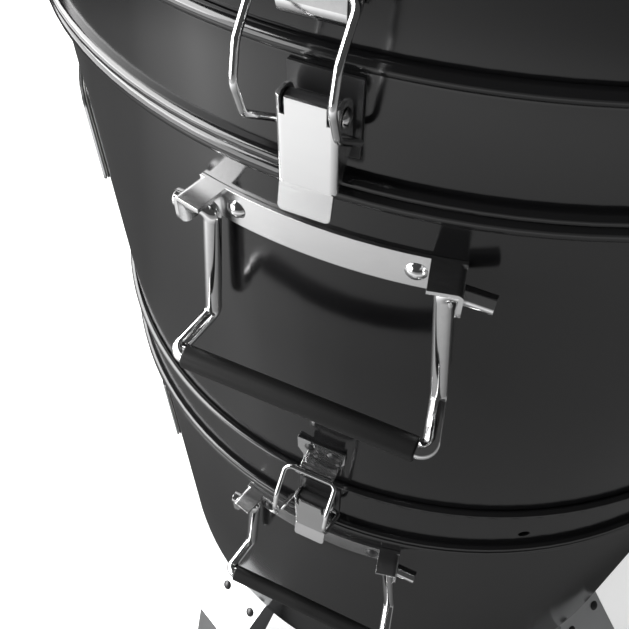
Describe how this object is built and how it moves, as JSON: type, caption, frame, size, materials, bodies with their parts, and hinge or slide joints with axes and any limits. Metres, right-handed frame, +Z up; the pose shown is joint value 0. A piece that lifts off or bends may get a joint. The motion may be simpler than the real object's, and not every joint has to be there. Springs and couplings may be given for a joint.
{
  "type": "stacked barrel oven",
  "caption": "Upright black enamel barrel oven in latched stacked sections, with wire handles, access doors, a domed lid with a thermometer, and folded sheet legs",
  "frame": {"origin": "on the floor under the middle of the barrel", "axes": "+Z up along the barrel's axis; -Y is the front with the latches and handles; +X is to the right of a person who faces the front"},
  "size_m": [0.5522, 0.5522, 1.0014],
  "materials": {
    "black_enamel": "gloss",
    "stainless": "satin",
    "polished_steel": "polished",
    "black_coated_steel": "satin",
    "leg_steel": "satin",
    "black_grip": "matte",
    "stone": "matte",
    "dial_white": "matte",
    "needle_red": "satin",
    "clear_glass": "clear"
  },
  "bodies": {
    "bowl": {"bowl_shell": "black_enamel", "bowl_brackets": "black_coated_steel", "bowl_latch_bases": "black_coated_steel", "bowl_latch_pins": "stainless", "bowl_handle_straps": "stainless", "bowl_handle_rivets": "black_coated_steel", "bowl_door_hinge": "stainless", "charcoal_grate": "black_coated_steel", "bowl_damper_rivet": "stainless", "leg_1": "leg_steel", "leg_2": "leg_steel", "leg_3": "leg_steel", "leg_4": "leg_steel", "leg_bolts": "black_coated_steel"},
    "middle": {"middle_shell": "black_enamel", "middle_keepers": "polished_steel", "middle_keeper_rivets": "black_coated_steel", "middle_brackets": "black_coated_steel", "middle_latch_bases": "black_coated_steel", "middle_latch_pins": "stainless", "middle_handle_straps": "stainless", "middle_handle_rivets": "stainless", "middle_door_hinge": "stainless"},
    "lid": {"lid_shell": "black_enamel", "lid_keepers": "polished_steel", "lid_keeper_rivets": "black_coated_steel", "lid_handle_rod": "polished_steel", "lid_handle_grip": "black_grip", "lid_damper_rivet": "stainless", "thermometer_case": "stainless", "thermometer_dial": "dial_white", "thermometer_glass": "clear_glass", "thermometer_stem": "stainless"},
    "lid_damper": {"lid_damper": "stainless"},
    "thermometer_needle": {"thermometer_needle": "needle_red"},
    "bowl_damper": {"bowl_damper": "stainless"},
    "cooking_grate": {"cooking_grate": "stainless"},
    "baking_stone": {"baking_stone": "stone"},
    "drip_pan": {"drip_pan": "stainless"},
    "charcoal_ring": {"charcoal_ring": "black_coated_steel"},
    "bowl_front_lever": {"bowl_front_lever": "stainless"},
    "bowl_front_bail": {"bowl_front_bail": "polished_steel"},
    "bowl_front_handle": {"bowl_front_handle_rod": "polished_steel", "bowl_front_handle_grip": "black_grip"},
    "bowl_back_lever": {"bowl_back_lever": "stainless"},
    "bowl_back_bail": {"bowl_back_bail": "polished_steel"},
    "bowl_back_handle": {"bowl_back_handle_rod": "polished_steel", "bowl_back_handle_grip": "black_grip"},
    "bowl_door": {"bowl_door": "stainless"},
    "bowl_door_knob": {"bowl_door_knob": "stainless"},
    "middle_front_lever": {"middle_front_lever": "stainless"},
    "middle_front_bail": {"middle_front_bail": "polished_steel"},
    "middle_front_handle": {"middle_front_handle_rod": "polished_steel", "middle_front_handle_grip": "black_grip"},
    "middle_back_lever": {"middle_back_lever": "stainless"},
    "middle_back_bail": {"middle_back_bail": "polished_steel"},
    "middle_back_handle": {"middle_back_handle_rod": "polished_steel", "middle_back_handle_grip": "black_grip"},
    "middle_door": {"middle_door": "stainless"},
    "middle_door_knob": {"middle_door_knob": "stainless"}
  },
  "joints": [
    {"name": "middle_lift", "type": "slide", "parent": "bowl", "child": "middle", "axis": [0, 0, 1], "range_m": [0, 0.32]},
    {"name": "lid_lift", "type": "slide", "parent": "middle", "child": "lid", "axis": [0, 0, 1], "range_m": [0, 0.3]},
    {"name": "cooking_grate_lift", "type": "slide", "parent": "middle", "child": "cooking_grate", "axis": [0, 0, 1], "range_m": [0, 0.055]},
    {"name": "baking_stone_lift", "type": "slide", "parent": "cooking_grate", "child": "baking_stone", "axis": [0, 0, 1], "range_m": [0, 0.2]},
    {"name": "drip_pan_lift", "type": "slide", "parent": "bowl", "child": "drip_pan", "axis": [0, 0, 1], "range_m": [0, 0.12]},
    {"name": "charcoal_ring_lift", "type": "slide", "parent": "bowl", "child": "charcoal_ring", "axis": [0, 0, 1], "range_m": [0, 0.06]},
    {"name": "bowl_front_lever_swing", "type": "hinge", "parent": "bowl", "child": "bowl_front_lever", "pos_m": [0, -0.2405, 0.475], "axis": [-1, 0, 0], "range_deg": [0, 70]},
    {"name": "bowl_front_bail_swing", "type": "hinge", "parent": "bowl_front_lever", "child": "bowl_front_bail", "pos_m": [0, -0.237, 0.4645], "axis": [-1, 0, 0], "range_deg": [-95, 0]},
    {"name": "bowl_front_handle_swing", "type": "hinge", "parent": "bowl", "child": "bowl_front_handle", "pos_m": [0, -0.2331, 0.4093], "axis": [-1, 0, 0], "range_deg": [0, 90]},
    {"name": "bowl_back_lever_swing", "type": "hinge", "parent": "bowl", "child": "bowl_back_lever", "pos_m": [0, 0.2405, 0.475], "axis": [1, 0, 0], "range_deg": [0, 70]},
    {"name": "bowl_back_bail_swing", "type": "hinge", "parent": "bowl_back_lever", "child": "bowl_back_bail", "pos_m": [0, 0.237, 0.4645], "axis": [1, 0, 0], "range_deg": [-95, 0]},
    {"name": "bowl_back_handle_swing", "type": "hinge", "parent": "bowl", "child": "bowl_back_handle", "pos_m": [0, 0.2331, 0.4093], "axis": [1, 0, 0], "range_deg": [0, 90]},
    {"name": "bowl_door_swing", "type": "hinge", "parent": "bowl", "child": "bowl_door", "pos_m": [-0.21605, -0.09619, 0.271], "axis": [0.4067, -0.9135, 0], "range_deg": [0, 95]},
    {"name": "bowl_door_knob_turn", "type": "hinge", "parent": "bowl_door", "child": "bowl_door_knob", "pos_m": [-0.21404, -0.0953, 0.351], "axis": [-0.9135, -0.4067, 0], "range_deg": [0, 90]},
    {"name": "middle_front_lever_swing", "type": "hinge", "parent": "middle", "child": "middle_front_lever", "pos_m": [0, -0.2405, 0.744], "axis": [-1, 0, 0], "range_deg": [0, 70]},
    {"name": "middle_front_bail_swing", "type": "hinge", "parent": "middle_front_lever", "child": "middle_front_bail", "pos_m": [0, -0.237, 0.7335], "axis": [-1, 0, 0], "range_deg": [-95, 0]},
    {"name": "middle_front_handle_swing", "type": "hinge", "parent": "middle", "child": "middle_front_handle", "pos_m": [0, -0.2331, 0.6783], "axis": [-1, 0, 0], "range_deg": [0, 90]},
    {"name": "middle_back_lever_swing", "type": "hinge", "parent": "middle", "child": "middle_back_lever", "pos_m": [0, 0.2405, 0.744], "axis": [1, 0, 0], "range_deg": [0, 70]},
    {"name": "middle_back_bail_swing", "type": "hinge", "parent": "middle_back_lever", "child": "middle_back_bail", "pos_m": [0, 0.237, 0.7335], "axis": [1, 0, 0], "range_deg": [-95, 0]},
    {"name": "middle_back_handle_swing", "type": "hinge", "parent": "middle", "child": "middle_back_handle", "pos_m": [0, 0.2331, 0.6783], "axis": [1, 0, 0], "range_deg": [0, 90]},
    {"name": "middle_door_swing", "type": "hinge", "parent": "middle", "child": "middle_door", "pos_m": [-0.21605, -0.09619, 0.5735], "axis": [0.4067, -0.9135, 0], "range_deg": [0, 95]},
    {"name": "middle_door_knob_turn", "type": "hinge", "parent": "middle_door", "child": "middle_door_knob", "pos_m": [-0.21404, -0.0953, 0.625], "axis": [-0.9135, -0.4067, 0], "range_deg": [0, 90]},
    {"name": "lid_damper_turn", "type": "hinge", "parent": "lid", "child": "lid_damper", "pos_m": [0.0504, 0.0873, 0.94173], "axis": [0.1294, 0.2241, 0.9659], "range_deg": [0, 60]},
    {"name": "bowl_damper_turn", "type": "hinge", "parent": "bowl", "child": "bowl_damper", "pos_m": [0, 0, 0.0897], "axis": [0, 0, 1], "range_deg": [0, 60]},
    {"name": "thermometer_needle_turn", "type": "hinge", "parent": "lid", "child": "thermometer_needle", "pos_m": [0, -0.21128, 0.90078], "axis": [0, -0.7071, 0.7071], "range_deg": [0, 270]}
  ],
  "couplings": [
    {"joint": "bowl_front_bail_swing", "follows": "bowl_front_lever_swing", "ratio": -1.3},
    {"joint": "bowl_back_bail_swing", "follows": "bowl_back_lever_swing", "ratio": -1.3},
    {"joint": "middle_front_bail_swing", "follows": "middle_front_lever_swing", "ratio": -1.3},
    {"joint": "middle_back_bail_swing", "follows": "middle_back_lever_swing", "ratio": -1.3}
  ]
}
